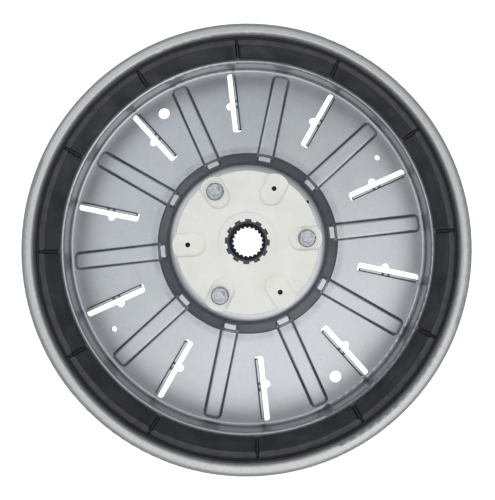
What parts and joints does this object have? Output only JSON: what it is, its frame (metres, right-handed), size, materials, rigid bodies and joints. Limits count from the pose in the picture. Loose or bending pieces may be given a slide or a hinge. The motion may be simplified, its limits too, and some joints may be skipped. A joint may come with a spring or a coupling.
{
  "type": "motor rotor",
  "caption": "Outer rotor of a direct-drive motor: ribbed steel dish with cooling slots, ring of arc magnets and bolted resin hub with splined bushing.",
  "frame": {"origin": "on the rotor's axis, in the plane of the dish's back face", "axes": "+Z along the rotor's axis, towards the open side of the dish; +X close to the first bolt of the hub"},
  "size_m": [0.3, 0.3, 0.061],
  "materials": {
    "pressed_steel": "zinc-coated sheet steel, satin",
    "cream_resin": "moulded glass-filled resin, satin",
    "sintered_steel": "dark steam-treated sintered steel",
    "zinc_bolt": "bright zinc plate",
    "ferrite": "sintered ferrite, dark grey, matt"
  },
  "bodies": {
    "root": {"rotor_frame": "pressed_steel", "hub": "cream_resin", "spline_bushing": "sintered_steel", "hub_bolt_1": "zinc_bolt", "hub_bolt_2": "zinc_bolt", "hub_bolt_3": "zinc_bolt", "magnet_01": "ferrite", "magnet_02": "ferrite", "magnet_03": "ferrite", "magnet_04": "ferrite", "magnet_05": "ferrite", "magnet_06": "ferrite", "magnet_07": "ferrite", "magnet_08": "ferrite", "magnet_09": "ferrite", "magnet_10": "ferrite", "magnet_11": "ferrite", "magnet_12": "ferrite"}
  },
  "joints": []
}
